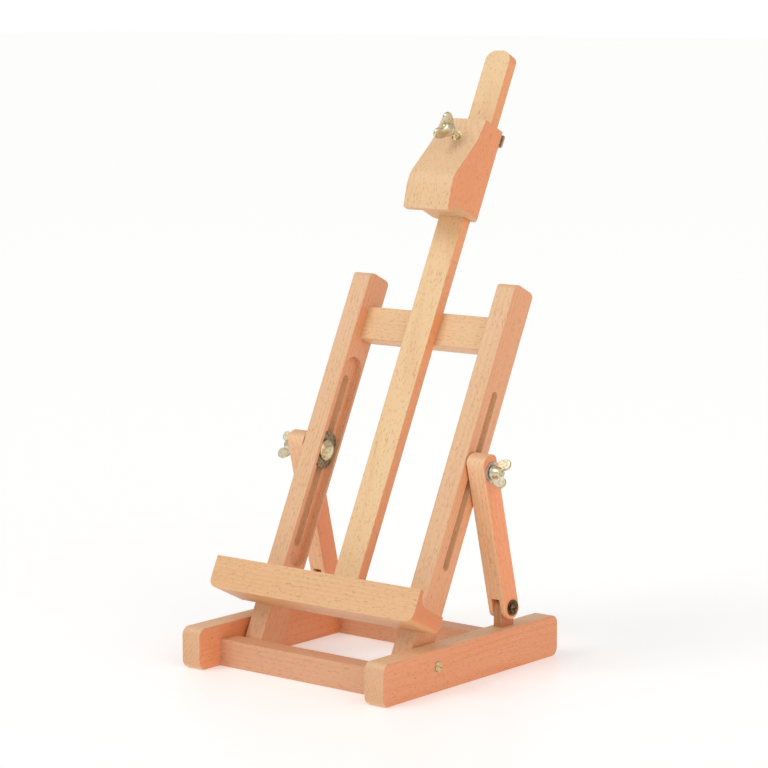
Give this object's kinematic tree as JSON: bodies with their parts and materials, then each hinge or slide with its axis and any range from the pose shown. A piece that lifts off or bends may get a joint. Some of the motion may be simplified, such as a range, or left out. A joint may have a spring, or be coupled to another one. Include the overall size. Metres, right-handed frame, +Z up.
{
  "type": "tabletop artist easel",
  "caption": "Wooden tabletop H-frame easel with a tilting slotted frame, two folding struts with wing nuts, a canvas tray and a sliding canvas clamp.",
  "frame": {"origin": "on the floor under the middle of the whole easel's bounding box", "axes": "+Z up, -Y towards the front where the canvas faces, +X to the viewer's right"},
  "size_m": [0.257, 0.3176, 0.5335],
  "materials": {
    "beech_rail": "satin oiled beech",
    "beech_crossbar": "satin oiled beech",
    "beech_upright": "satin oiled beech",
    "beech_top_bar": "satin oiled beech",
    "beech_mast": "satin oiled beech",
    "beech_tray": "satin oiled beech",
    "beech_strut": "satin oiled beech",
    "beech_clamp": "satin oiled beech",
    "beech_tongue": "satin oiled beech",
    "beech_dowel": "satin oiled beech",
    "wing_metal": "cast, pale brass plate",
    "bolt_metal": "bright brass plate",
    "foot_screw_metal": "brass plate, slotted",
    "washer_steel": "zinc plated",
    "screw_steel": "zinc plated",
    "hinge_bronze": "darkened"
  },
  "bodies": {
    "base": {"side_rail_left": "beech_rail", "side_rail_right": "beech_rail", "front_crossbar": "beech_crossbar", "rear_crossbar": "beech_crossbar", "front_crossbar_dowels": "beech_dowel", "rear_crossbar_dowels": "beech_dowel", "strut_tongue_left": "beech_tongue", "strut_tongue_right": "beech_tongue", "foot_washer_left": "washer_steel", "foot_washer_right": "washer_steel"},
    "frame": {"upright_left": "beech_upright", "upright_right": "beech_upright", "top_crossbar": "beech_top_bar", "mast": "beech_mast", "canvas_tray": "beech_tray", "foot_screw_left": "foot_screw_metal", "foot_screw_right": "foot_screw_metal", "mast_screws": "screw_steel", "tray_screws": "screw_steel"},
    "clamp": {"clamp_block": "beech_clamp", "keeper_plate": "washer_steel", "keeper_screws": "bolt_metal", "clamp_insert": "bolt_metal"},
    "clamp_screw": {"clamp_wing_screw": "wing_metal"},
    "strut_left": {"strut_left": "beech_strut", "hinge_screw_left": "hinge_bronze", "hinge_washer_left": "hinge_bronze", "slot_bolt_left": "bolt_metal", "strut_washer_left": "washer_steel"},
    "slide_plate_left": {"slide_plate_left": "washer_steel"},
    "wing_nut_left": {"wing_nut_left": "wing_metal"},
    "strut_right": {"strut_right": "beech_strut", "hinge_screw_right": "hinge_bronze", "hinge_washer_right": "hinge_bronze", "slot_bolt_right": "bolt_metal", "strut_washer_right": "washer_steel"},
    "slide_plate_right": {"slide_plate_right": "washer_steel"},
    "wing_nut_right": {"wing_nut_right": "wing_metal"}
  },
  "joints": [
    {"name": "frame_tilt", "type": "hinge", "parent": "base", "child": "frame", "pos_m": [0, -0.08483, 0.022], "axis": [-1, 0, 0], "range_deg": [-8, 54]},
    {"name": "strut_left_swing", "type": "hinge", "parent": "base", "child": "strut_left", "pos_m": [-0.10175, 0.02217, 0.054], "axis": [-1, 0, 0], "range_deg": [-15, 100]},
    {"name": "slide_plate_left_turn", "type": "hinge", "parent": "strut_left", "child": "slide_plate_left", "pos_m": [-0.0755, -0.00878, 0.17794], "axis": [-1, 0, 0], "range_deg": [-46, 7]},
    {"name": "wing_nut_left_spin", "type": "hinge", "parent": "strut_left", "child": "wing_nut_left", "pos_m": [-0.119, -0.00878, 0.17794], "axis": [-1, 0, 0], "continuous": true},
    {"name": "strut_right_swing", "type": "hinge", "parent": "base", "child": "strut_right", "pos_m": [0.10175, 0.02217, 0.054], "axis": [-1, 0, 0], "range_deg": [-15, 100]},
    {"name": "slide_plate_right_turn", "type": "hinge", "parent": "strut_right", "child": "slide_plate_right", "pos_m": [0.0755, -0.00878, 0.17794], "axis": [-1, 0, 0], "range_deg": [-46, 7]},
    {"name": "wing_nut_right_spin", "type": "hinge", "parent": "strut_right", "child": "wing_nut_right", "pos_m": [0.119, -0.00878, 0.17794], "axis": [1, 0, 0], "continuous": true},
    {"name": "clamp_slide", "type": "slide", "parent": "frame", "child": "clamp", "axis": [0, 0.4384, 0.8988], "range_m": [-0.085, 0.06]},
    {"name": "clamp_screw_spin", "type": "hinge", "parent": "clamp", "child": "clamp_screw", "pos_m": [0, 0.08496, 0.45877], "axis": [0, -0.8988, 0.4384], "continuous": true}
  ],
  "couplings": [
    {"joint": "strut_left_swing", "follows": "frame_tilt", "ratio": 1.8392},
    {"joint": "slide_plate_left_turn", "follows": "frame_tilt", "ratio": -0.8392},
    {"joint": "strut_right_swing", "follows": "frame_tilt", "ratio": 1.8392},
    {"joint": "slide_plate_right_turn", "follows": "frame_tilt", "ratio": -0.8392}
  ]
}
